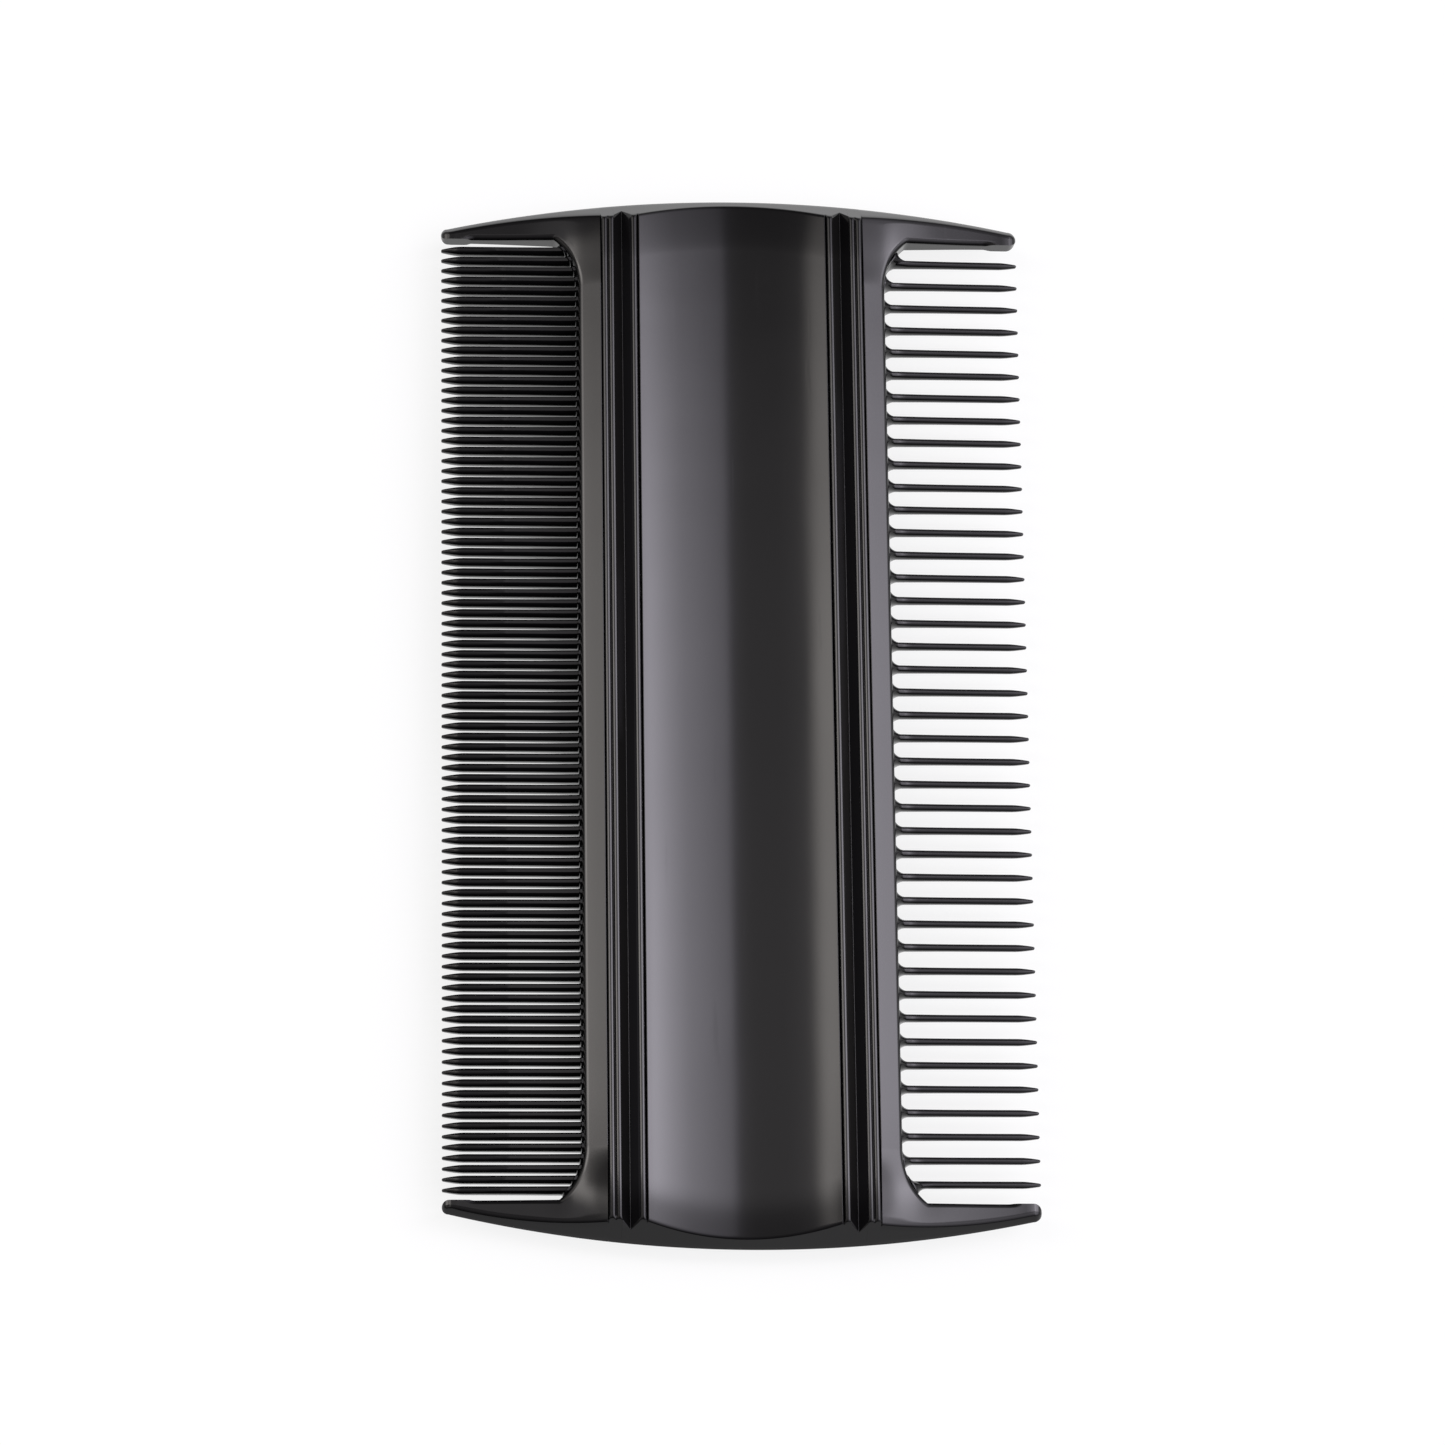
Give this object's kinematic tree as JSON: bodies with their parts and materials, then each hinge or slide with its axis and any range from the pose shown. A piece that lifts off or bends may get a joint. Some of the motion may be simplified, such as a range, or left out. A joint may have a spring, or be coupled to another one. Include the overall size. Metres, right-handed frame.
{
  "type": "hair comb",
  "caption": "Flat double-sided hair comb: hollowed thumb panel between ribbed rails, a fine tooth row on one side, a coarse tooth row on the other, and bowed ends with tapering guards.",
  "frame": {"origin": "centre of the comb's footprint, at the level of the lower rib lands it rests on", "axes": "+Y along the long axis, +X towards the coarse teeth, +Z out of the upper face"},
  "size_m": [0.049, 0.09, 0.0052],
  "materials": {
    "comb_plastic": "moulded gloss, black"
  },
  "bodies": {
    "root": {"thumb_panel": "comb_plastic", "fine_rail": "comb_plastic", "coarse_rail": "comb_plastic", "fine_shoulder": "comb_plastic", "coarse_shoulder": "comb_plastic", "fine_guard_rear": "comb_plastic", "fine_guard_front": "comb_plastic", "coarse_guard_rear": "comb_plastic", "coarse_guard_front": "comb_plastic", "fine_teeth": "comb_plastic", "coarse_teeth": "comb_plastic"}
  },
  "joints": []
}
